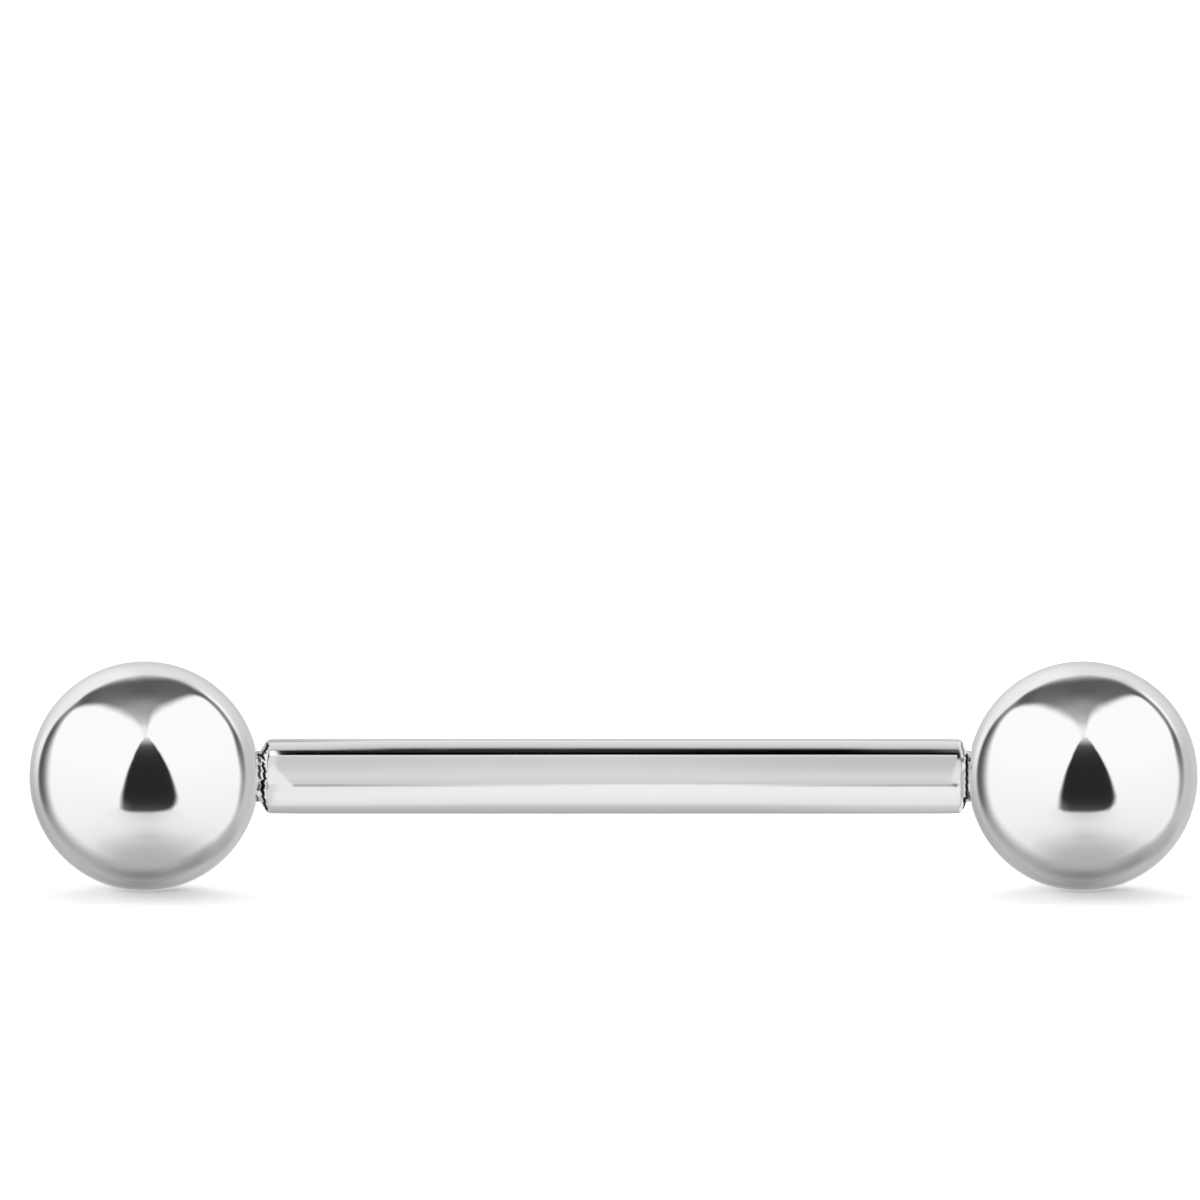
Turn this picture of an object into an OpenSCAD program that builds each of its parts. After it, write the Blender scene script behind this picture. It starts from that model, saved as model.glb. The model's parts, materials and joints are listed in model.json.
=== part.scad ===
// Straight barbell for a nipple piercing: a polished bar with a threaded stub at
// each end, and a round ball screwed onto each stub.
// It lies on Z = 0 on its two balls, with the bar along X and its middle at X = 0.

/* [Balls] */
// Diameter of each ball
ball_d = 5; // [4:0.5:8]
// Turn of each ball about the bar where it stops, screwed home
ball_turn = 12; // [0:1:359]

/* [Bar] */
// Diameter of the polished shaft, 14 gauge
bar_d = 1.63; // [1.6:0.01:2]
// Free length of the bar between the two balls
wear_l = 15.4; // [8:0.2:24]
// Gap left between a ball and the bar's shoulder
seat_gap = 0.04; // [0.02:0.01:0.1]
// Length of the shoulder's chamfer along the bar
chamfer_l = 0.15; // [0.1:0.01:0.2]
// Height of the shoulder's chamfer across the bar
chamfer_h = 0.21; // [0.12:0.01:0.21]
// Radius that softens the edge between the shaft and its chamfer
edge_r = 0.2; // [0.05:0.05:0.2]

/* [Thread] */
// Diameter over the thread's crests, M1.2
thread_d = 1.15; // [1.1:0.01:1.16]
// Distance from one turn to the next
thread_pitch = 0.25; // [0.2:0.05:0.3]
// Depth of the thread's groove
thread_depth = 0.15; // [0.1:0.01:0.16]
// Length of each stub beyond the shoulder
stub_l = 2; // [1.2:0.1:2.4]
// Height and length of the lead-in at the tip of the stub
lead_in = 0.16; // [0.1:0.02:0.2]

/* [Hole in the ball] */
// Room around the thread, on the radius
hole_gap = 0.025; // [0.02:0.005:0.06]
// Room past the tip of the stub, before the drilled point
hole_spare = 0.2; // [0.1:0.05:0.4]
// Size of the small bevel around the mouth of the hole
mouth_bevel = 0.03; // [0.02:0.01:0.06]

/* [Hidden] */
$fn = 96;

bar_r = bar_d / 2;
ball_r = ball_d / 2;
axis_z = ball_r;
shoulder_x = wear_l / 2 - seat_gap;
ball_x = wear_l / 2 + ball_r;

// The mouth of the hole is a small circle cut from the sphere, a little
// further in than the ball's own surface on the axis
hole_r = thread_d / 2 + hole_gap;
mouth_r = hole_r + mouth_bevel;
mouth_x = ball_x - sqrt(ball_r * ball_r - mouth_r * mouth_r);
hole_end_x = shoulder_x + stub_l + hole_spare;
drill_point = 118;
point_l = hole_r / tan(drill_point / 2);

// The thread's profile over one pitch, as shares of the pitch and of the depth
thread_sides = 16;
thread_rows = [
    // along, depth
    [0, 1],
    [0.25, 1],
    [0.5625, 0],
    [0.6875, 0]
];
rows_per_turn = len(thread_rows);
// Turns hidden inside the shaft, so that no loose end of the helix shows
buried_turns = 2;

// One edge between shaft and chamfer: the turn's angle, and its points as (radius, x)
// counted from the corner where the two straight lines would meet
edge_turn = atan2(chamfer_h, chamfer_l);
edge_cut = edge_r * tan(edge_turn / 2);
edge_steps = 5;
function edge_points(corner_x) = [
    for (i = [0 : edge_steps])
        let (a = edge_turn * i / edge_steps)
        [bar_r - edge_r * (1 - cos(a)), corner_x - edge_cut + edge_r * sin(a)]
];

function thread_radius(row, x) =
    let (
        cut = thread_rows[row % rows_per_turn][1] * thread_depth,
        tip = thread_d / 2 - lead_in + max(stub_l - x, 0)
    )
    min(thread_d / 2 - cut, tip);

function thread_x(row, side) =
    thread_pitch * (
        floor(row / rows_per_turn) - buried_turns
        + thread_rows[row % rows_per_turn][0]
        + side / thread_sides
    );

function thread_point(row, side) =
    let (
        x = thread_x(row, side),
        r = thread_radius(row, x),
        a = 360 * side / thread_sides
    )
    [r * cos(a), r * sin(a), x];

// A right-hand threaded rod along +Z from just below Z = 0 to past the stub's tip
module thread_blank() {
    turns = buried_turns + ceil(stub_l / thread_pitch) + 2;
    last = turns * rows_per_turn;
    points = [for (row = [0 : last], side = [0 : thread_sides - 1]) thread_point(row, side)];
    start_centre = len(points);
    end_centre = start_centre + 1;
    centres = [
        [0, 0, thread_x(0, thread_sides / 2)],
        [0, 0, thread_x(last, thread_sides / 2)]
    ];
    // After the last side comes the first side of the next turn
    function at(row, side) = side < thread_sides
        ? row * thread_sides + side
        : (row + rows_per_turn) * thread_sides;
    wall = [
        for (row = [0 : last - 1], side = [0 : thread_sides - 1])
            if (side < thread_sides - 1 || row + 1 + rows_per_turn <= last)
                each [
                    [at(row, side), at(row + 1, side), at(row + 1, side + 1)],
                    [at(row, side), at(row + 1, side + 1), at(row, side + 1)]
                ]
    ];
    start_rim = [
        for (side = [0 : thread_sides - 1]) at(0, side),
        for (row = [rows_per_turn : -1 : 1]) at(row, 0)
    ];
    end_rim = [
        for (side = [0 : thread_sides - 1]) at(last, side),
        for (back = [1 : rows_per_turn]) at(last - back, thread_sides - 1)
    ];
    start_cap = [
        for (i = [0 : len(start_rim) - 1])
            [start_centre, start_rim[i], start_rim[(i + 1) % len(start_rim)]]
    ];
    end_cap = [
        for (i = [0 : len(end_rim) - 1])
            [end_centre, end_rim[(i + 1) % len(end_rim)], end_rim[i]]
    ];
    polyhedron(points = concat(points, centres), faces = concat(wall, start_cap, end_cap));
}

// The stub stands along +Z from the shoulder at Z = 0, rooted in the shaft
module threaded_stub() {
    intersection() {
        thread_blank();
        translate([0, 0, -thread_pitch / 2]) cylinder(r = bar_r, h = stub_l + thread_pitch / 2);
    }
}

// The shaft with its two chamfered shoulders, as one turned profile
module shaft() {
    face_r = bar_r - chamfer_h;
    corner_x = shoulder_x - chamfer_l;
    right = concat(edge_points(corner_x), [[face_r, shoulder_x]]);
    left = [for (i = [len(right) - 1 : -1 : 0]) [right[i][0], -right[i][1]]];
    rotate([0, 90, 0]) rotate_extrude() polygon(concat([[0, -shoulder_x]], left, right, [[0, shoulder_x]]));
}

module bar() {
    color("silver") translate([0, 0, axis_z]) {
        shaft();
        for (turned = [0, 180]) {
            rotate([0, 0, turned]) translate([shoulder_x, 0, 0]) rotate([0, 90, 0]) threaded_stub();
        }
    }
}

// A ball on +X, with its blind hole facing the bar
module ball() {
    difference() {
        translate([ball_x, 0, 0]) rotate([ball_turn, 0, 0]) rotate([0, 90, 0]) sphere(r = ball_r);
        rotate([0, 90, 0]) rotate_extrude() polygon([
            [0, shoulder_x - ball_r],
            [mouth_r, shoulder_x - ball_r],
            [mouth_r, mouth_x],
            [hole_r, mouth_x + mouth_bevel],
            [hole_r, hole_end_x],
            [0, hole_end_x + point_l]
        ]);
    }
}

module ball_left() {
    color("gainsboro") translate([0, 0, axis_z]) rotate([0, 0, 180]) ball();
}

module ball_right() {
    color("gainsboro") translate([0, 0, axis_z]) ball();
}

bar();
ball_left();
ball_right();
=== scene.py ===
import json
import math

import bpy
import numpy as np
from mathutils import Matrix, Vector


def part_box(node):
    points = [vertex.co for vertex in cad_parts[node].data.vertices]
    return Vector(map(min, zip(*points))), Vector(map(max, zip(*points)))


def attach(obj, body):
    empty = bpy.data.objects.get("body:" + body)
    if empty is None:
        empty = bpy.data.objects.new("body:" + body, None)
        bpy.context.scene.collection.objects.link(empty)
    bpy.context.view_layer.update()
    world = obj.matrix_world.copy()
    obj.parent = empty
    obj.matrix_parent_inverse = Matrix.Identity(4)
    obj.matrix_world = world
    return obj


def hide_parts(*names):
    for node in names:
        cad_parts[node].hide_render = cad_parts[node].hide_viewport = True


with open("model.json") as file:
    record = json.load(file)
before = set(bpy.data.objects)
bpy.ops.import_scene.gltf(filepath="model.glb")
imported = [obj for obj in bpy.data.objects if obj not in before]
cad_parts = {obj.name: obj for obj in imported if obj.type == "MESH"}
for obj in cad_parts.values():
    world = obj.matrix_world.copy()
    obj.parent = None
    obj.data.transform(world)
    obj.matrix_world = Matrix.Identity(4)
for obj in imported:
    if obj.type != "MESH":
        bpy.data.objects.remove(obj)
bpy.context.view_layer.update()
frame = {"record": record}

MM = 0.001

# Sizes of the barbell, taken from the frame where it states them
SHAFT_MOUNT = frame["record"]["mounts"][0]
BAR_R = SHAFT_MOUNT["dims"]["r_mm"] * MM
AXIS_Z = SHAFT_MOUNT["pos_m"][2]
BALL_R = AXIS_Z
BALL_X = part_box("ball_right")[1].x - BALL_R
BAR_TIP_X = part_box("bar")[1].x
# From the shaft's shoulder to where a full ball would begin
SEAT_GAP = 0.04 * MM
SHOULDER_X = BALL_X - BALL_R - SEAT_GAP

# The shaft is very slightly crowned, and its last stretch is polished round
CROWN = 0.004 * MM
CROWN_POWER = 4
ROLL_L = 0.78 * MM
ROLL_TILT = math.radians(1.5)
# Then come a soft edge, as long as this along the surface, and a chamfer. Hand polishing
# has left the two ends a little different: (edge's length, edge's last tilt, chamfer's last tilt)
LEFT_END = (0.12 * MM, math.radians(50), math.radians(62))
RIGHT_END = (0.145 * MM, math.radians(56), math.radians(74))
FACE_R = 0.58 * MM
# Ripples on the chamfers: their height, and (waves round the bar, length of a radian along it,
# phase) for each set of waves
RIPPLE = 0.0016 * MM
RIPPLE_WAVES = [(7, 0.05 * MM, 0), (17, -0.03 * MM, 1), (29, 0.04 * MM, 2)]

# M1.2 thread on the stubs
CREST_R = 0.575 * MM
THREAD_DEPTH = 0.15 * MM
PITCH = 0.25 * MM
# Its form over one pitch, as (share of the pitch, share of the depth that is cut), and how
# far before +Y the form begins at the shoulder, in turns
THREAD_FORM = [(0, 1), (0.25, 1), (0.5625, 0), (0.6875, 0), (1, 1)]
THREAD_START = 0.25
LEAD_IN = 0.16 * MM
# Rings across the flat tip, as shares of its radius
TIP_RINGS = (0.96, 0.3, 0)
NECK_R = 0.555 * MM
NECK_L = 0.1 * MM
NECK_BLEND = 0.06 * MM

# The tapped hole in each ball
HOLE_R = 0.6 * MM
GROOVE = 0.07 * MM
MOUTH_BEVEL = 0.03 * MM
HOLE_SPARE = 0.2 * MM
DRILL_POINT = math.radians(118)
# A ring close to the edge of the drilled point, as (distance past the edge, share of the radius)
POINT_RING = (0.01 * MM, 0.97)

# How finely the meshes are divided, and from what angle an edge is sharp
CREASE = math.radians(28)
BAR_SIDES = 224
BALL_SIDES = 192
BALL_RINGS = 110
RINGS_PER_PITCH = 12
TAP_FADE_RINGS = 6
# Rings along the shaft's plain part, as (from, to, how many), then up to the soft edge
PLAIN_RINGS = (0.5 * MM, 6.5 * MM, 25)
ROLLED_FROM = 6.6 * MM
ROLLED_RINGS = 14
# Steps over the soft edge, and as many over the chamfer
EDGE_STEPS = 9
# Steps over which the ripples fade in from the soft edge's start and out before the stub
RIPPLE_FADE_IN = 8
RIPPLE_FADE_OUT = 3

# Dark polishing residue and painted shade on the bar. A faint film of painted shade, partly residue, over the
# neck and stub everywhere past the shoulder, as (strength, from, softness), the places in mm past the
# shoulder
NECK_FILM_SHADE = [(0.05, 0, 0.01), (0.12, 0.07, 0.02)]
# In the thread's roots, painted shade in the grooves, partly residue, as (from, softness): in shares of the
# depth, in mm past the shoulder and in mm before the tip
ROOT_STRENGTH = 0.5
ROOT_DEPTH = (0.5, 0.8)
ROOT_START = (0.13, 0.06)
ROOT_TIP = (0, 0.04)
# The same in a ball's hole, painted shade that deepens inside it, partly dull tapping residue, in mm under
# the ball's surface
HOLE_STRENGTH = 0.93
HOLE_DEPTH = (0.14, 0.26)
# Dark marks on the chamfers and necks, partly residue and partly painted shade and dark reflections, as
# (width, strength, points), the points as (distance past the shoulder, height above the axis), all in mm
LEFT_MARKS = [
    (0.06, 1, [(-0.139, 0.72), (-0.09, 0.57)]),
    (0.05, 1, [(-0.04, 0.55), (-0.02, 0.49), (-0.085, 0.42)]),
    (0.055, 1, [(0.07, 0.495), (-0.02, 0.475)]),
    (0.045, 0.9, [(0.046, 0.45), (0.03, 0.35)]),
    (0.065, 1, [(-0.04, 0.34), (-0.065, 0.23)]),
    (0.06, 1, [(0.032, 0.267), (0.032, 0.02)]),
    (0.07, 1, [(-0.072, 0.25), (-0.08, 0.04), (-0.055, -0.06)]),
    (0.1, 1, [(-0.045, -0.06), (-0.03, -0.276)]),
    (0.05, 1, [(0.05, -0.13), (0.05, -0.25)]),
    (0.05, 0.9, [(0.078, -0.4), (0.085, -0.54)]),
    (0.068, 1, [(-0.035, -0.276), (-0.06, -0.43), (-0.09, -0.6), (-0.13, -0.74)]),
    (0.03, 0.6, [(-0.139, -0.06), (-0.139, -0.2)]),
]
RIGHT_MARKS = [
    (0.04, 0.7, [(-0.096, 0.77), (-0.074, 0.637), (-0.048, 0.528), (-0.02, 0.474)]),
    (0.05, 0.8, [(-0.08, 0.44), (-0.07, 0.39)]),
    (0.04, 0.4, [(-0.052, 0.2), (-0.063, 0.115)]),
    (0.085, 0.3, [(-0.085, 0.12), (-0.08, -0.385)]),
    (0.03, 0.3, [(-0.06, 0), (-0.06, -0.3)]),
    (0.065, 1, [(-0.035, -0.43), (-0.02, -0.58), (-0.046, -0.74)]),
    (0.05, 0.9, [(0.06, -0.3), (0.08, -0.47)]),
    # This mark paints the shadow in the gap between the right shoulder and its ball
    (0.068, 1, [(0.018, 0.485), (0.018, -0.45)]),
]
MARK_SOFTNESS = 0.03
# The dark marks waver, less on the right: (size in mm, radians for each mm of height, phase)
MARK_WAVES = [(0.012, 38, 1), (0.008, 83, 0)]
RIGHT_WAVER = 0.4

# Share of the light that the steel mirrors, and how much of that the balls keep near their outlines
BALL_STEEL = (0.817, 0.80, 0.80)
BAR_STEEL = (0.80, 0.80, 0.80)
BALL_EDGE_SHARE = 0.78
# The dark colour of the residue and of the painted shade on the steel
DARK_SHADE_AND_RESIDUE = (0.01, 0.01, 0.01, 1)
# The steel's finish: lowest and highest roughness, polishing marks for each metre along X, Y
# and Z, and the marks' depth in metres
BAR_ROUGHNESS = (0.02, 0.045)
BAR_MARKS = (300, 6000, 6000)
BAR_MARKS_DEPTH = 8e-8
BALL_ROUGHNESS = (0.03, 0.05)
BALL_MARKS = (4000, 4000, 4000)
BALL_MARKS_DEPTH = 1e-7
MARKS_DETAIL = 4.0
# Patches of roughness: patches for each metre, and the span of the noise that makes them
PATCHES = 900.0
PATCHES_DETAIL = 3.0
PATCHES_SPAN = (0.35, 0.7)

# The picture: 1200 pixels wide, with the barbell's middle below and right of its centre
PHOTO_SIZE = 1200
PHOTO_SCALE = 46.0 / MM
MIDDLE_PX = (613.5, 776.3)
CAMERA_ELEVATION = math.radians(5.3)
CAMERA_DISTANCE = 1.0
SENSOR_MM = 36
CLIP_FROM = 0.01
CLIP_TO = 10

# The floor, and the light on it: an even sky, and soft lights as (name, strength, spread,
# elevation, place), in degrees, the place counted from behind the barbell towards the left
FLOOR_HALF = 1.6
FLOOR_WHITE = (0.9, 0.9, 0.9, 1)
SKY = 0.68
FLOOR_LIGHTS = [
    ("back_light", 1.9, 84, 41, -16),
    ("front_light", 4.0, 36, 8, 169),
    ("side_light", 3.5, 40, 8, 46),
]

# The domes round the barbell, as (radius, rings, sides). The two round the balls differ a
# little in radius, so that they don't share a surface
BAR_DOME = (3.3, 240, 400)
LEFT_DOME = (2.9, 180, 360)
RIGHT_DOME = (3.1, 180, 360)
# The bar mirrors a narrow belt of its dome, so only this share of its rings is spread evenly
EVEN_RINGS = 0.04

# Curves and soft windows


def rise(x, edge, width):
    """0 well below the edge and 1 well above it, crossing smoothly over the width."""
    t = np.clip((x - edge) / width + 0.5, 0, 1)
    return t * t * (3 - 2 * t)


def through(points, x):
    """A smooth curve without overshoot through given points, level beyond its ends."""
    xs, ys = np.array(points, float).T
    step = np.diff(xs)
    slope = np.diff(ys) / step
    product = slope[:-1] * slope[1:]
    total = slope[:-1] + slope[1:]
    inner = np.where(product > 0, 2 * product / np.where(total == 0, 1, total), 0)
    tangent = np.concatenate([[0], inner, [0]])
    x = np.clip(x, xs[0], xs[-1])
    k = np.clip(np.searchsorted(xs, x, side="right") - 1, 0, len(step) - 1)
    t = (x - xs[k]) / step[k]
    start = (1 + 2 * t) * (1 - t) ** 2 * ys[k] + t * (1 - t) ** 2 * step[k] * tangent[k]
    end = t * t * (3 - 2 * t) * ys[k + 1] - t * t * (1 - t) * step[k] * tangent[k + 1]
    return start + end


def mix(a, b, share):
    """From a at share 0 to b at share 1."""
    return a + (b - a) * share


def above(edge, width):
    """A soft window, as a function of the place: 0 below the edge and 1 above it."""
    return lambda x: rise(x, edge, width)


def below(edge, width):
    """A window that is 1 below the edge."""
    return lambda x: rise(edge - x, 0, width)


def between(low, low_width, high, high_width):
    """A window that is 1 between two edges."""
    return lambda x: rise(x, low, low_width) * rise(high - x, 0, high_width)


def away(edge, width):
    """A window that is 1 on both sides, further than the edge from the middle."""
    return lambda x: rise(np.abs(x), edge, width)


def near(middle, width):
    """A bell-shaped window."""
    return lambda x: np.exp(-(((x - middle) / width) ** 2))


def curve(points, window=lambda x: 1):
    """A curve through the points, kept within a window, as a function of the place."""
    return lambda x: through(points, x) * window(x)


def patches(rows, across, up):
    """The sum of soft patches, from rows of (strength, window across, window up)."""
    return sum(strength * wide(across) * tall(up) for strength, wide, tall in rows)


# Meshes


def mesh_object(name, points, faces, crease):
    """A smooth mesh in the scene, with sharp edges from the crease angle on."""
    mesh = bpy.data.meshes.new(name)
    mesh.from_pydata(points, [], faces)
    mesh.shade_smooth()
    mesh.set_sharp_from_angle(angle=crease)
    mesh.update()
    piece = bpy.data.objects.new(name, mesh)
    bpy.context.scene.collection.objects.link(piece)
    return piece


def store(piece, name, values):
    """Keep one number for each point of the mesh, for its material to read."""
    attribute = piece.data.attributes.new(name, "FLOAT", "POINT")
    attribute.data.foreach_set("value", values.astype(np.float32))


def closed_faces(rings, sides):
    """Faces over a first point, rings of points and a last point."""
    last = 1 + rings * sides

    def at(ring, side):
        return 1 + ring * sides + side % sides

    faces = []
    for side in range(sides):
        faces.append((0, at(0, side + 1), at(0, side)))
        faces.append((last, at(rings - 1, side), at(rings - 1, side + 1)))
    for ring in range(rings - 1):
        for side in range(sides):
            faces.append((at(ring, side), at(ring, side + 1), at(ring + 1, side + 1), at(ring + 1, side)))
    return faces


def lathe(name, rings, sides):
    """A closed body turned about the barbell's axis, from (x, radius) rings.

    The first and the last ring are points on the axis. A radius is one number, or one
    for each side where a thread runs round. The outside is on the left of the profile."""
    angle = np.arange(sides) * (2 * math.pi / sides)
    inner = rings[1:-1]
    points = [(rings[0][0], 0, AXIS_Z)]
    for x, radius in inner:
        y = radius * np.cos(angle)
        z = radius * np.sin(angle) + AXIS_Z
        points += [(x, float(b), float(c)) for b, c in zip(y, z)]
    points.append((rings[-1][0], 0, AXIS_Z))
    return mesh_object(name, points, closed_faces(len(inner), sides), CREASE)


def thread_cut(along, sides, right_end=True):
    """Share of the thread's depth cut at each side of a ring that lies this far from the shoulder."""
    angle = np.arange(sides) / sides
    turn = angle + THREAD_START if right_end else 1 - THREAD_START - angle
    place = (along / PITCH - turn) % 1
    return np.interp(place, *np.array(THREAD_FORM).T)


def stub_rings(right_end):
    """From the shoulder to the tip, as (distance from the shoulder, radii)."""
    length = BAR_TIP_X - SHOULDER_X
    tip_r = CREST_R - LEAD_IN
    count = round(length / PITCH * RINGS_PER_PITCH)
    rings = []
    for i in range(count + 1):
        along = length * i / count
        cut = THREAD_DEPTH * thread_cut(along, BAR_SIDES, right_end)
        cut = mix(CREST_R - NECK_R, cut, rise(along, NECK_L + NECK_BLEND / 2, NECK_BLEND))
        rings.append((along, np.minimum(CREST_R - cut, tip_r + length - along)))
    return rings + [(length, tip_r * share) for share in TIP_RINGS]


def ripples(x):
    """Small uneven waves that hand polishing leaves round the chamfer."""
    angle = np.arange(BAR_SIDES) * (2 * math.pi / BAR_SIDES)
    return RIPPLE * sum(np.sin(count * angle + x / length + phase) for count, length, phase in RIPPLE_WAVES)


def shaft_radius(x):
    """Crowned over its length, and falling away over the last stretch."""
    rolled = np.clip((x - SHOULDER_X + ROLL_L) / ROLL_L, 0, 1)
    fall = math.tan(ROLL_TILT) * ROLL_L / 2
    return BAR_R - CROWN * (x / SHOULDER_X) ** CROWN_POWER - fall * rolled**2


def shaft_half(edge_arc, edge_tilt, face_tilt):
    """From the middle to the shoulder's face, as (x, radius)."""
    start_r = shaft_radius(SHOULDER_X - edge_arc)
    edge = np.linspace(ROLL_TILT, edge_tilt, EDGE_STEPS)
    face = np.linspace(edge_tilt, face_tilt, EDGE_STEPS)
    edge_step = edge_arc / EDGE_STEPS
    face_step = (start_r - FACE_R - edge_step * np.sin(edge).sum()) / np.sin(face).sum()
    tilts = np.concatenate([edge, face])
    steps = np.repeat([edge_step, face_step], EDGE_STEPS)
    x = SHOULDER_X - (steps * np.cos(tilts)).sum()
    rings = [(0, shaft_radius(0))]
    for shaft_x in (*np.linspace(*PLAIN_RINGS), *np.linspace(ROLLED_FROM, x, ROLLED_RINGS)):
        rings.append((shaft_x, shaft_radius(shaft_x)))
    # The edge begins at the shaft's true radius and takes up the small difference on its way
    radius = start_r
    misfit = rings[-1][1] - start_r
    count = len(tilts)
    for i, (tilt, step) in enumerate(zip(tilts, steps)):
        x += step * math.cos(tilt)
        radius -= step * math.sin(tilt)
        fade = min(1, i / RIPPLE_FADE_IN, (count - 1 - i) / RIPPLE_FADE_OUT)
        rings.append((x, radius + misfit * (1 - i / count) + ripples(x) * fade))
    return rings


def stroke(x, height, points, width):
    """How strongly a dark mark drawn through the points covers each place, all in mm."""
    nearest = np.full(len(x), np.inf)
    for (x0, h0), (x1, h1) in zip(points, points[1:]):
        share = ((x - x0) * (x1 - x0) + (height - h0) * (h1 - h0)) / ((x1 - x0) ** 2 + (h1 - h0) ** 2)
        share = np.clip(share, 0, 1)
        nearest = np.minimum(nearest, np.hypot(x - mix(x0, x1, share), height - mix(h0, h1, share)))
    return 1 - rise(nearest, width / 2, MARK_SOFTNESS)


def paint_shade_and_residue(bar):
    """Painted shade, partly dark polishing residue, in the two corners behind the balls and in the threads,
    and dark marks of painted shade and reflections.
    """
    place = np.array([vertex.co for vertex in bar.data.vertices]) / MM
    x = place[:, 0]
    past = np.abs(x) - SHOULDER_X / MM
    height = place[:, 2] - AXIS_Z / MM
    sunk = (CREST_R / MM - np.hypot(place[:, 1], height)) / (THREAD_DEPTH / MM)
    before_tip = (BAR_TIP_X - LEAD_IN) / MM - np.abs(x)
    darkened = sum(strength * rise(past, start, softness) for strength, start, softness in NECK_FILM_SHADE)
    # Painted shade in the thread's roots, partly residue
    threaded = rise(past, *ROOT_START) * rise(before_tip, *ROOT_TIP)
    darkened += ROOT_STRENGTH * rise(sunk, *ROOT_DEPTH) * threaded
    # The dark marks of the back are those of the front, upside down
    height = np.where(place[:, 1] > 0, -height, height)
    waves = sum(size * np.sin(count * height + phase) for size, count, phase in MARK_WAVES)
    past = past + np.where(x > 0, RIGHT_WAVER, 1) * waves
    for marks, end in ((LEFT_MARKS, -1), (RIGHT_MARKS, 1)):
        for width, strength, points in marks:
            covered = strength * stroke(past, height, points, width)
            darkened = np.where(x * end > 0, np.maximum(darkened, covered), darkened)
    store(bar, "residue_and_shade", darkened)


def bar_half(end, right_end):
    """From the bar's middle to the tip of its stub, as (distance from the middle, radii)."""
    stub = [(SHOULDER_X + along, radius) for along, radius in stub_rings(right_end)]
    return shaft_half(*end) + stub


def make_bar():
    """The shaft with both its stubs, as one closed mesh."""
    right = bar_half(RIGHT_END, True)
    left = [(-x, radius) for x, radius in bar_half(LEFT_END, False)[1:]]
    bar = lathe("polished_bar", left[::-1] + right, BAR_SIDES)
    paint_shade_and_residue(bar)
    return bar


def make_ball(name, side):
    """The ball on +X for side 1. The one for side -1 is the same, turned half round about Z."""
    bottom_x = BAR_TIP_X + HOLE_SPARE
    mouth_r = HOLE_R + MOUTH_BEVEL
    mouth_x = BALL_X - math.sqrt(BALL_R**2 - mouth_r**2)
    ring_x, ring_share = POINT_RING
    rings = [
        (bottom_x + HOLE_R / math.tan(DRILL_POINT / 2), 0),
        (bottom_x + ring_x, HOLE_R * ring_share),
        (bottom_x, HOLE_R),
    ]
    tapped_from = mouth_x + MOUTH_BEVEL
    tapped_to = bottom_x - PITCH / 2
    count = round((tapped_to - tapped_from) / PITCH * RINGS_PER_PITCH)
    for i in range(count + 1):
        x = mix(tapped_to, tapped_from, i / count)
        fade = min(1, i / TAP_FADE_RINGS, (count - i) / TAP_FADE_RINGS)
        cut = 1 - thread_cut(x - SHOULDER_X, BALL_SIDES)
        rings.append((x, HOLE_R + GROOVE * cut * fade))
    start = math.asin(mouth_r / BALL_R)
    for i in range(BALL_RINGS):
        polar = mix(start, math.pi, i / BALL_RINGS)
        rings.append((BALL_X - BALL_R * math.cos(polar), BALL_R * math.sin(polar)))
    rings.append((BALL_X + BALL_R, 0))
    ball = lathe(name, rings, BALL_SIDES)
    # The hole darkens with depth: painted shade, partly dull tapping residue
    place = np.array([vertex.co for vertex in ball.data.vertices]) - (BALL_X, 0, AXIS_Z)
    deep = (BALL_R - np.linalg.norm(place, axis=1)) / MM
    store(ball, "residue_and_shade", HOLE_STRENGTH * rise(deep, *HOLE_DEPTH))
    if side < 0:
        for vertex in ball.data.vertices:
            vertex.co.x = -vertex.co.x
            vertex.co.y = -vertex.co.y
    return ball


# Materials


def new_material(name):
    material = bpy.data.materials.new(name)
    material.use_nodes = True
    tree = material.node_tree
    return material, tree, tree.nodes["Principled BSDF"]


def node(tree, kind, settings=None, **inputs):
    """Add a node. An input named i0, i1 and so on is the socket of that number."""
    made = tree.nodes.new(kind)
    for key, value in (settings or {}).items():
        setattr(made, key, value)
    for key, value in inputs.items():
        socket = made.inputs[int(key[1:])] if key[0] == "i" and key[1:].isdigit() else made.inputs[key]
        if isinstance(value, bpy.types.NodeSocket):
            tree.links.new(value, socket)
        else:
            socket.default_value = value
    return made


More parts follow.
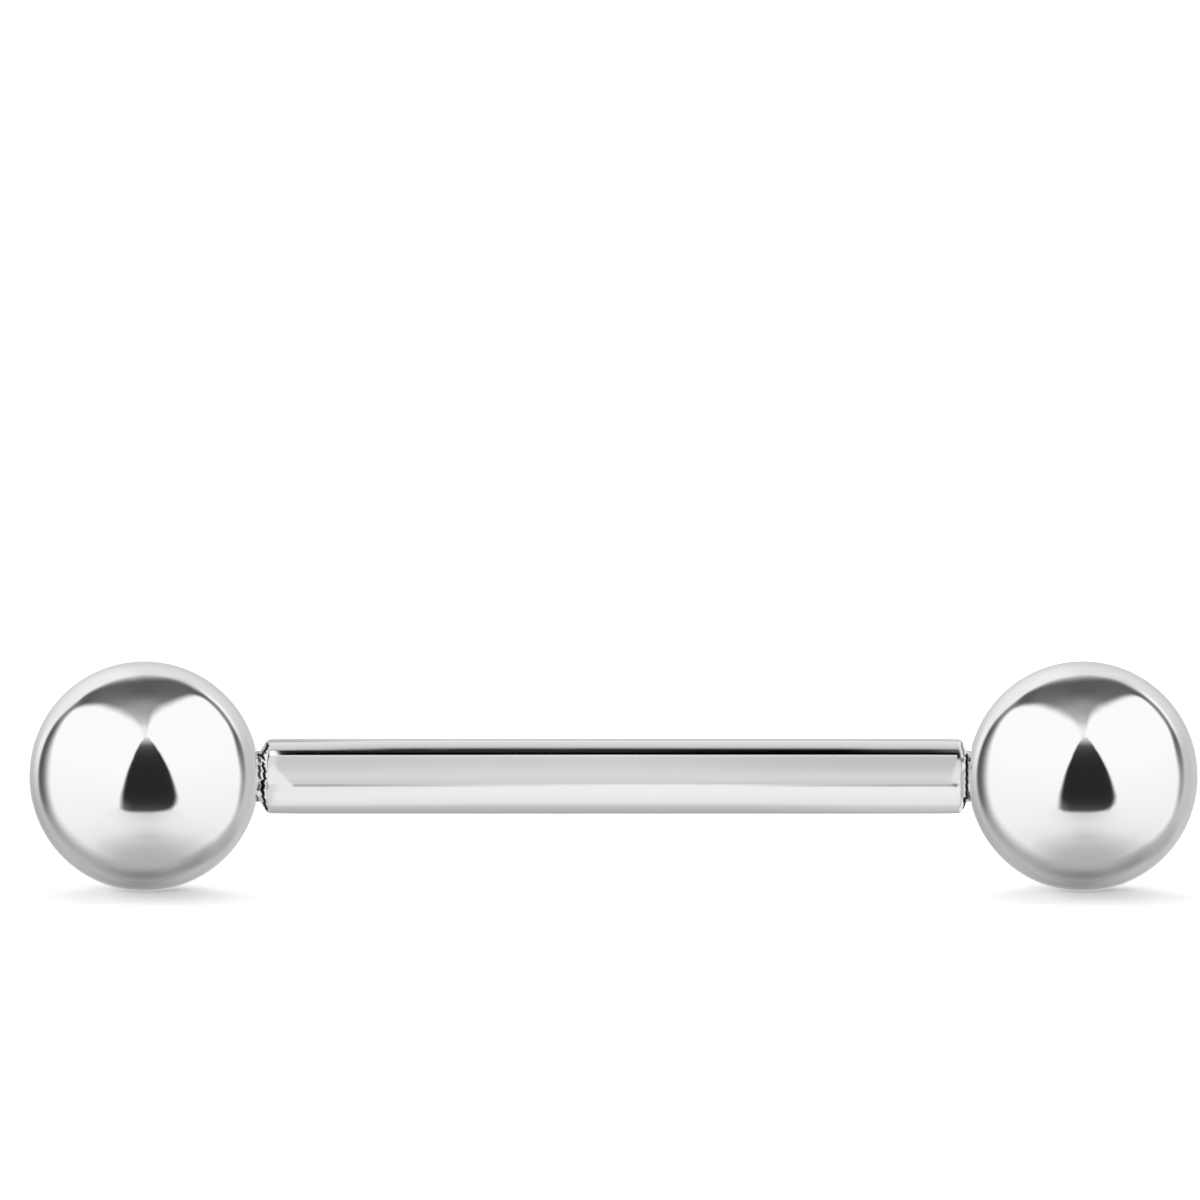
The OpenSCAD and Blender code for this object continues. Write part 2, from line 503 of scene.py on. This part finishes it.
def polished_steel(name, colour, roughness, marks, marks_depth, edge_share=1):
    """Mirror-polished steel, rougher in soft patches, with fine polishing marks."""
    material, tree, shader = new_material(name)
    shader.inputs["Specular IOR Level"].default_value = 0
    shader.inputs["Specular Tint"].default_value = (edge_share, edge_share, edge_share, 1)
    place = node(tree, "ShaderNodeTexCoord").outputs["Object"]
    noise = node(tree, "ShaderNodeTexNoise", Vector=place, Scale=PATCHES, Detail=PATCHES_DETAIL)
    wear = node(tree, "ShaderNodeMapRange", i0=noise.outputs["Fac"])
    for socket, value in zip(("From Min", "From Max", "To Min", "To Max"), PATCHES_SPAN + roughness):
        wear.inputs[socket].default_value = value
    tree.links.new(wear.outputs["Result"], shader.inputs["Roughness"])
    stretched = node(tree, "ShaderNodeMapping", Vector=place, Scale=marks).outputs["Vector"]
    lines = node(tree, "ShaderNodeTexNoise", Vector=stretched, Scale=1.0, Detail=MARKS_DETAIL)
    bump = node(tree, "ShaderNodeBump", Height=lines.outputs["Fac"], Strength=1.0, Distance=marks_depth)
    tree.links.new(bump.outputs["Normal"], shader.inputs["Normal"])
    # Residue and painted shade are dull and dark, and hide the metal
    darkened = node(tree, "ShaderNodeAttribute", {"attribute_name": "residue_and_shade"}).outputs["Fac"]
    tint = node(tree, "ShaderNodeMix", {"data_type": "RGBA"}, i0=darkened, i6=(*colour, 1), i7=DARK_SHADE_AND_RESIDUE)
    tree.links.new(tint.outputs[2], shader.inputs["Base Color"])
    metal_share = node(tree, "ShaderNodeMath", {"operation": "SUBTRACT"}, i0=1.0, i1=darkened)
    tree.links.new(metal_share.outputs[0], shader.inputs["Metallic"])
    return material


def glowing_clear(name):
    """What a dome is made of: it gives off the stored light and lets all other light through."""
    material = bpy.data.materials.new(name)
    material.use_nodes = True
    tree = material.node_tree
    tree.nodes.clear()
    read = node(tree, "ShaderNodeAttribute", {"attribute_name": "glow"})
    emit = node(tree, "ShaderNodeEmission", Strength=read.outputs["Fac"])
    clear = node(tree, "ShaderNodeBsdfTransparent")
    both = node(tree, "ShaderNodeAddShader", i0=emit.outputs[0], i1=clear.outputs[0])
    node(tree, "ShaderNodeOutputMaterial", Surface=both.outputs[0])
    material.cycles.emission_sampling = "NONE"
    return material


# What the balls mirror

# All in degrees. Azimuth 0 is towards the camera, positive to the right, and elevation is
# above the horizon. Greys go from 0 to 255. First the two front panels and the one behind,
# their tops as (azimuth, elevation)
FRONT_PANELS_TOP = [
    (-134, 28), (-126, 39.5), (-114, 51.5), (-105, 58), (-90, 63.5), (-60, 68), (-30, 66), (-16, 62),
    (-8, 57), (1, 46), (9, 61), (18, 68.5), (35, 73), (60, 74.5), (90, 71), (105, 67), (120, 60),
    (134, 48), (144, 36),
]
BACK_PANEL_TOP = [
    (134, 34), (142, 41), (150, 44.7), (160, 49.5), (168, 53.5), (176, 55.5), (188, 56.8), (200, 54.5),
    (208, 51), (216, 46), (224, 39), (230, 33),
]
# Their sides as (elevation, azimuth)
LEFT_PANEL_SIDE = [
    (-60, -112), (-20, -116.5), (0, -117.5), (10, -120), (20, -123), (30, -126), (35, -126.6), (40, -126),
]
RIGHT_PANEL_SIDE = [
    (-50, 112), (-40, 119), (-30, 119.5), (-20, 117), (-8, 114.2), (5, 114.2), (10, 115), (15, 117.3),
    (20, 120.8), (25, 124), (30, 126.2), (35, 129.7), (43, 134.3),
]
BACK_PANEL_RIGHT = [
    (-60, 118), (-5, 122.5), (10, 126), (15, 127.4), (20, 128.6), (25, 131.4), (30, 134.5), (35, 137.2),
    (40, 140.8),
]
BACK_PANEL_LEFT = [(-60, 227), (-5, 226.8), (20, 226), (26, 226.6), (35, 226.2), (43, 220)]
BACK_CORNER = 2
# How soft the edges are, against elevation
FRONT_TOP_BLUR = 11
LEFT_PANEL_BLUR = [(-50, 34), (-20, 20), (5, 22), (25, 12), (34, 8), (41, 13)]
RIGHT_PANEL_BLUR = [(-50, 26), (-20, 13), (0, 9), (35, 7)]
BACK_PANEL_BLUR = [(-60, 40), (-20, 12), (5, 6), (30, 6), (40, 8), (50, 15), (58, 20)]

# The dark gap under the front panels' meeting point: sides as (elevation, azimuth), bottom
# as (azimuth, elevation), top as an elevation. The bottom is twice as crisp as the sides,
# but not at the right corner
GAP_LEFT = [
    (-30, -24.5), (-20, -23.3), (-12, -22), (-4, -20), (4, -18.1), (12, -15.9), (20, -13.1), (24, -11.5),
    (28, -10.3), (32, -8.4), (36, -6.4), (40, -3.9), (43, -1.5),
]
GAP_RIGHT = [
    (-30, 32), (-24, 33), (-16, 33), (-8, 31), (0, 28.6), (8, 26), (16, 23), (24, 19.4), (28, 17.5),
    (32, 15), (36, 12.8), (40, 9.8), (43, 7.3),
]
GAP_BOTTOM = [
    (-26, -27), (-20, -29.4), (-10, -30.3), (6, -30.4), (16, -29.7), (24, -28.5), (28, -27.1), (31, -25),
    (34, -21),
]
GAP_TOP = 45
GAP_BOTTOM_CRISP = below(26, 8)
GAP_CORNER = 1.2
GAP_BLUR = [(-26, 9), (-16, 7.5), (-8, 5.5), (2, 4), (20, 2.4)]

# Greys against elevation
PANEL_TONES = [(-90, 175), (-75, 182), (-62, 204), (-50, 229), (-35, 239), (0, 247), (15, 250)]
GAP_TONES = [(-29, 72), (-20, 47), (-8, 39), (12, 40), (24, 47), (32, 66), (36, 88), (40, 158), (46, 214)]
BACK_TONES = [
    (-90, 176), (-68, 176), (-64, 167), (-58, 160), (-52, 163), (-46, 175), (-38, 187), (-28, 190),
    (-20, 199), (4, 202), (15, 211), (30, 218), (42, 220),
]
GAP_HAZE = [(-66, 0), (-56, 14), (-46, 12), (-38, 22), (-32, 34), (-29, 36), (-24, 0)]
FUNNEL_GLOW = [(44, 62), (51, 80), (54, 73), (57, 62), (60, 42), (66, 20), (75, 0)]
CEILING_TONE = 120
# The shades between the panels
SHADE_TONES = [
    (-90, 173), (-60, 168), (-25, 155), (-10, 96), (15, 82), (30, 128), (36, 124), (41, 92), (50, 88),
]
# The ceiling turns into these shades towards the sides and below this elevation
SHADE_ACROSS = away(90, 50)
SHADE_UP = below(50, 10)


def towards_camera(azimuth):
    return np.cos(np.radians(azimuth))


# What lightens and darkens each part, as (change of grey, window of azimuth, window of
# elevation). The panel behind counts its azimuth from 0 to 360
CEILING_PATCHES = [
    (32, towards_camera, below(86, 18)),
    (14, near(-42, 45), below(76, 8)),
    (1, near(-2, 26), curve(FUNNEL_GLOW, above(42, 4))),
]
SHADE_PATCHES = [
    (58, above(90, 20), near(-5, 18)),
]
PANEL_PATCHES = [
    (-1, near(2, 26), curve(GAP_HAZE)),
]
GAP_PATCHES = [
    (26, near(-20, 5), below(-19, 8)),
]
BACK_PATCHES = [
    (14, above(186, 16), above(5, 20)),
    (27, near(219, 6), near(4, 10)),
    (-30, near(181, 14), between(-52, 10, -22, 12)),
    (-12, near(138, 12), between(-60, 12, -26, 14)),
    (-44, near(180, 42), near(-67.5, 9.8)),
    (-14, near(195, 30), near(-38, 5)),
    (-16, above(204, 14), near(-18, 13)),
    (-11, below(146, 14), between(-54, 14, 15, 20)),
    (-22, near(200, 12), near(-14, 9)),
    (-16, below(160, 12), above(38, 8)),
]
# Along an edge, as (change of grey, window of the distance inside that edge, window of elevation)
GAP_RIM = [
    (7, near(0, 6), below(9, 16)),
    (-16, near(1.6, 1.2), near(28, 8)),
]
BACK_RIM = [
    (30, near(4, 4), between(16, 16, 36, 8)),
]
BACK_RIM_ACROSS = below(154, 14)
# The front panels' greys lie lower towards the right, as (degrees, window of azimuth)
PANEL_DROPS = [(3, above(0, 60)), (3, above(75, 40))]
# What the balls mirror at their outlines is behind them, and a little brighter
OUTLINE_GAIN = 0.06
OUTLINE = below(-0.55, 0.7)


def inside(corner, *distances):
    """How far inside several edges a direction is, with the corners between the edges rounded."""
    return -corner * np.log(sum(np.exp(-distance / corner) for distance in distances))


def room_for_balls(azimuth, elevation):
    """The greys round the balls: two tall light panels that meet at the front above a dark gap,
    a third panel behind, a dark ceiling, and a table that darkens towards the ball."""
    behind = azimuth % 360
    ceiling = CEILING_TONE + patches(CEILING_PATCHES, azimuth, elevation)
    shade = mix(ceiling, through(SHADE_TONES, elevation), SHADE_ACROSS(azimuth) * SHADE_UP(elevation))
    shade += patches(SHADE_PATCHES, azimuth, elevation)

    panels = rise(through(FRONT_PANELS_TOP, azimuth) - elevation, 0, FRONT_TOP_BLUR)
    panels *= rise(azimuth - through(LEFT_PANEL_SIDE, elevation), 0, through(LEFT_PANEL_BLUR, elevation))
    panels *= rise(through(RIGHT_PANEL_SIDE, elevation) - azimuth, 0, through(RIGHT_PANEL_BLUR, elevation))
    drop = sum(degrees * window(azimuth) for degrees, window in PANEL_DROPS)
    lit = through(PANEL_TONES, elevation - drop) + patches(PANEL_PATCHES, azimuth, elevation)
    tone = mix(shade, lit, panels)

    from_right = through(GAP_RIGHT, elevation) - azimuth
    edges = (
        azimuth - through(GAP_LEFT, elevation),
        from_right,
        (1 + GAP_BOTTOM_CRISP(azimuth)) * (elevation - through(GAP_BOTTOM, azimuth)),
        GAP_TOP - elevation,
    )
    gap = rise(inside(GAP_CORNER, *edges), 0, through(GAP_BLUR, elevation))
    dark = through(GAP_TONES, elevation) + patches(GAP_PATCHES, azimuth, elevation)
    dark += patches(GAP_RIM, from_right, elevation)
    tone = mix(tone, dark, gap)

    edges = (
        through(BACK_PANEL_TOP, behind) - elevation,
        behind - through(BACK_PANEL_RIGHT, elevation),
        through(BACK_PANEL_LEFT, elevation) - behind,
    )
    depth = inside(BACK_CORNER, *edges)
    far = through(BACK_TONES, elevation) + patches(BACK_PATCHES, behind, elevation)
    far += patches(BACK_RIM, depth, elevation) * BACK_RIM_ACROSS(behind)
    tone = mix(tone, far, rise(depth, 0, through(BACK_PANEL_BLUR, elevation)))

    ahead = np.cos(np.radians(elevation)) * towards_camera(azimuth) * math.cos(CAMERA_ELEVATION)
    ahead += np.sin(np.radians(elevation)) * math.sin(CAMERA_ELEVATION)
    return tone * (1 + OUTLINE_GAIN * OUTLINE(ahead))


# What the bar mirrors

# Greys against the turn, the angle about the bar's axis: 0 is towards the camera, and
# positive turns over the top. They make the long bright and dark lines on the shaft
BAR_TONES = [
    (-172, 160), (-147, 166), (-126, 177), (-112, 186), (-104, 192), (-97, 201), (-91, 215), (-84, 226),
    (-64, 235), (-22.3, 239), (-19.6, 211), (-7, 212), (6, 214), (15, 216), (24, 214.5), (34, 211),
    (44, 207), (68, 208), (70.5, 226), (74.8, 236), (78.2, 2), (82.5, 2), (86, 41), (94, 42), (98, 62),
    (101, 108), (104.5, 172), (109, 196), (115, 206), (125, 213), (141, 226), (150, 212), (158, 198),
    (165, 188), (173, 180),
]
# The shaft mirrors this many degrees further to the side for each mm from its middle
PER_MM = 0.0747
# What changes along the shaft, against the place in mm from its middle
UPPER_SHIFT = [
    (-7.2, 11), (-6.8, 8), (-5.8, 2), (-4.6, 0), (-2.4, -0.4), (0, 0), (2, 0.7), (4, 1.2), (5.8, 1.2),
    (6.7, 4),
]
DARK_LINE_SHIFT = [(-6.5, 1.8), (6.5, 0.4)]
UPPER_GREY = [(-7, 0), (0, 0), (2, -22), (4, -42), (5.8, -58), (6.7, -8), (7.3, 4), (32, 45)]
MIDDLE_GREY = [(-7, -9), (-4.6, -6), (-1, 0), (1.5, -3), (4, -12), (6, -15)]
LOWER_DIP = [(-5, 0), (-2.4, 8), (0, 5), (2, 11), (4, 12), (6, 0)]
LOWER_LINE = [
    (-7, 158), (-5.7, 168), (-4.6, 186), (-2.4, 222), (0, 242), (2, 246), (4, 220), (5.8, 184), (7.5, 172),
]
# How the strips bend, as (degrees of turn, window of turn, window of place),
STRIP_SHIFTS = [
    (1, above(92, 8), curve(UPPER_SHIFT)),
    (1, near(76, 4), curve(DARK_LINE_SHIFT, away(0, 6))),
    (5, between(-108, 10, -82, 6), away(5, 4)),
]
# and how their greys change, as (change of grey, window of turn, window of place)
STRIP_PATCHES = [
    (1, near(89, 6.5), curve(UPPER_GREY)),
    (1, between(14, 30, 78, 2), curve(MIDDLE_GREY)),
    (-1, near(-16.5, 3), curve(LOWER_DIP)),
    (-30, near(143, 7), below(-6.2, 3)),
    (15, near(-122, 22), above(5, 4)),
    (-6, near(-12, 9), away(3.5, 3)),
    (-6, near(-35, 12), below(-5, 2)),
]
# The bright line low on the shaft, and where it ends, in degrees to the side
LOWER_LINE_TURN = near(-22.8, 3.8)
LOWER_LINE_SIDE = above(-1.0, 0.2)
# Where the bright patches at the two ends begin, as (turn, degrees to the side), their greys
# as (turn, grey), and the turns that they cover
LEFT_PATCH = [
    (-21, 1.03), (-9, 1.42), (-3, 1.55), (10, 1.9), (22, 2.24), (36, 2.42), (46, 2.4), (62, 2.18), (75, 2.15),
]
RIGHT_PATCH = [
    (-20, 2.75), (-15, 2.63), (-3, 2.57), (10, 2.68), (28, 2.77), (41, 2.87), (54, 3.0), (62, 3.05),
]
LEFT_PATCH_GREY = [(25, 233), (55, 217)]
RIGHT_PATCH_GREY = [(18, 226), (58, 212)]
PATCH_TURN = between(-21, 2, 71, 3)
PATCH_BLUR = 0.16
# What is painted over the ends, as (grey, window of turn, window of degrees to the side)
DARK_LINE_TURN = between(73, 3, 93, 4)
END_LAYERS = [
    (110, near(-22, 5), between(2.65, 0.4, 3.25, 0.2)),
    (190, DARK_LINE_TURN, between(-24, 8, -1.86, 0.16)),
    (255, DARK_LINE_TURN, between(-24, 8, -2.0, 0.16)),
    (40, near(70, 8), between(3.1, 0.6, 32, 10)),
]
END_PATCHES = [
    (-20, between(-90, 8, -20, 6), below(-2.4, 1)),
]
# The soft tent, its greys against the degrees to the side
TENT_TURN = away(128, 16)
TENT_SIDE = away(12, 8)
TENT_GREY = [(-55, 246), (-29, 185), (-10, 185), (10, 232)]


def room_for_bar(side, turn):
    """The greys round the bar: long strips, a bright patch past each end of the shaft, and
    a soft tent far to the sides and behind."""
    along = side / PER_MM
    shift = patches(STRIP_SHIFTS, turn, along)
    tone = np.interp(turn + shift, *np.array(BAR_TONES, float).T)
    tone += patches(STRIP_PATCHES, turn, along)
    tone = mix(tone, through(LOWER_LINE, along), LOWER_LINE_TURN(turn) * LOWER_LINE_SIDE(side))

    open_left = rise(-side - through(LEFT_PATCH, turn), 0, PATCH_BLUR)
    open_right = rise(side - through(RIGHT_PATCH, turn), 0, PATCH_BLUR)
    tone = mix(tone, through(LEFT_PATCH_GREY, turn), PATCH_TURN(turn) * open_left)
    tone = mix(tone, through(RIGHT_PATCH_GREY, turn), PATCH_TURN(turn) * open_right)
    for grey, turn_window, side_window in END_LAYERS:
        tone = mix(tone, grey, turn_window(turn) * side_window(side))
    tone += patches(END_PATCHES, turn, side)
    return mix(tone, through(TENT_GREY, side), TENT_TURN(turn) * TENT_SIDE(side))


# The studio


def light_for(tone):
    """The light that the steel mirrors as this grey, from 0 to 255, by the standard screen curve."""
    share = np.maximum(np.asarray(tone, float), 0) / 255
    linear = np.where(share <= 0.04045, share / 12.92, ((share + 0.055) / 1.055) ** 2.4)
    return linear / BAR_STEEL[0]


def dome(name, size, receiver, tones, polar):
    """A big shell round the barbell that lights only the given piece and shows only in its mirror."""
    radius, rings, sides = size
    angle = np.linspace(-180, 180, sides + 1)[:-1]
    height = np.linspace(-1, 1, rings + 1)[1:-1]
    if polar == "X":
        height = mix(height**3, height, EVEN_RINGS)
    height = height * 90
    a, h = np.meshgrid(angle, height)
    flat = np.cos(np.radians(h)) * radius
    up = np.sin(np.radians(h)) * radius
    one = np.cos(np.radians(a)) * flat
    two = np.sin(np.radians(a)) * flat
    if polar == "Z":
        ends = ((0, 0, -radius), (0, 0, radius))
        grid = np.stack([two, -one, up], -1)
        values = tones(a, h)
    else:
        ends = ((-radius, 0, 0), (radius, 0, 0))
        grid = np.stack([up, -one, two], -1)
        values = tones(h, a)
    points = [ends[0], *map(tuple, grid.reshape(-1, 3)), ends[1]]
    shell = mesh_object(name, points, closed_faces(len(height), sides), math.pi)
    shell.location.z = AXIS_Z
    # The two end points take the mean of the rings next to them
    light = light_for(np.concatenate([[values[0].mean()], values.ravel(), [values[-1].mean()]]))
    store(shell, "glow", light)
    shell.data.materials.append(glowing_clear(name))
    shell.visible_camera = False
    shell.visible_diffuse = False
    shell.visible_shadow = False
    lit = bpy.data.collections.new(name + "_lights")
    lit.objects.link(receiver)
    shell.light_linking.receiver_collection = lit
    return shell


def make_floor():
    corners = [(x * FLOOR_HALF, y * FLOOR_HALF, 0) for x, y in ((-1, -1), (1, -1), (1, 1), (-1, 1))]
    floor = mesh_object("studio_floor", corners, [(0, 1, 2, 3)], math.pi)
    material, tree, shader = new_material("white_floor")
    shader.inputs["Base Color"].default_value = FLOOR_WHITE
    shader.inputs["Roughness"].default_value = 1
    shader.inputs["Specular IOR Level"].default_value = 0
    floor.data.materials.append(material)
    floor.visible_glossy = False
    return floor


def make_world():
    """White behind everything and soft white light on the floor. The steel mirrors the domes only."""
    world = bpy.data.worlds.new("white_studio")
    bpy.context.scene.world = world
    world.use_nodes = True
    tree = world.node_tree
    background = tree.nodes["Background"]
    background.inputs["Color"].default_value = (1, 1, 1, 1)
    path = node(tree, "ShaderNodeLightPath").outputs
    soft = node(tree, "ShaderNodeMath", {"operation": "MULTIPLY"}, i0=path["Is Diffuse Ray"], i1=SKY)
    total = node(tree, "ShaderNodeMath", {"operation": "ADD"}, i0=path["Is Camera Ray"], i1=soft.outputs[0])
    tree.links.new(total.outputs[0], background.inputs["Strength"])


def make_floor_lights(floor):
    """Soft lights that draw the balls' shadows on the floor, and light nothing else."""
    lit = bpy.data.collections.new("floor_lights_on")
    lit.objects.link(floor)
    for name, strength, spread, elevation, place in FLOOR_LIGHTS:
        data = bpy.data.lights.new(name, "SUN")
        data.energy = strength
        data.angle = math.radians(spread)
        light = bpy.data.objects.new(name, data)
        bpy.context.scene.collection.objects.link(light)
        light.rotation_euler = (math.radians(elevation - 90), 0, math.radians(place))
        light.light_linking.receiver_collection = lit


def make_camera():
    """It looks down a little, and the barbell lies off the picture's middle, as in the photo."""
    data = bpy.data.cameras.new("camera")
    camera = bpy.data.objects.new("camera", data)
    bpy.context.scene.collection.objects.link(camera)
    right = Vector((1, 0, 0))
    up = Vector((0, math.sin(CAMERA_ELEVATION), math.cos(CAMERA_ELEVATION)))
    back = Vector((0, -math.cos(CAMERA_ELEVATION), math.sin(CAMERA_ELEVATION)))
    half = PHOTO_SIZE / 2
    aim = Vector((0, 0, AXIS_Z))
    aim += right * ((half - MIDDLE_PX[0]) / PHOTO_SCALE)
    aim += up * ((MIDDLE_PX[1] - half) / PHOTO_SCALE)
    camera.location = aim + back * CAMERA_DISTANCE
    camera.rotation_euler = (math.pi / 2 - CAMERA_ELEVATION, 0, 0)
    data.sensor_width = SENSOR_MM
    data.lens = SENSOR_MM * CAMERA_DISTANCE / (PHOTO_SIZE / PHOTO_SCALE)
    data.clip_start = CLIP_FROM
    data.clip_end = CLIP_TO
    bpy.context.scene.camera = camera


# The barbell

bar_steel = polished_steel("bar_steel", BAR_STEEL, BAR_ROUGHNESS, BAR_MARKS, BAR_MARKS_DEPTH)
bar = make_bar()
bar.visible_glossy = False
bar.visible_diffuse = False
bar.visible_shadow = False
bar.data.materials.append(bar_steel)
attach(bar, "bar")
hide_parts("bar")

ball_steel = polished_steel(
    "ball_steel", BALL_STEEL, BALL_ROUGHNESS, BALL_MARKS, BALL_MARKS_DEPTH, BALL_EDGE_SHARE
)
balls = []
for name, side in (("ball_left", -1), ("ball_right", 1)):
    ball = make_ball("polished_" + name, side)
    ball.data.materials.append(ball_steel)
    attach(ball, name)
    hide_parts(name)
    ball.visible_glossy = False
    balls.append(ball)

make_floor_lights(make_floor())
make_world()
dome("dome_for_bar", BAR_DOME, bar, room_for_bar, "X")
for ball, side, size in zip(balls, (-1, 1), (LEFT_DOME, RIGHT_DOME)):
    # Turned a little, so that both balls mirror the same picture to the camera
    room = dome("dome_for_" + ball.name, size, ball, room_for_balls, "Z")
    room.location.x = side * BALL_X
    room.rotation_euler.z = math.atan2(-side * BALL_X, CAMERA_DISTANCE)
make_camera()
bpy.context.scene.view_settings.view_transform = "Standard"
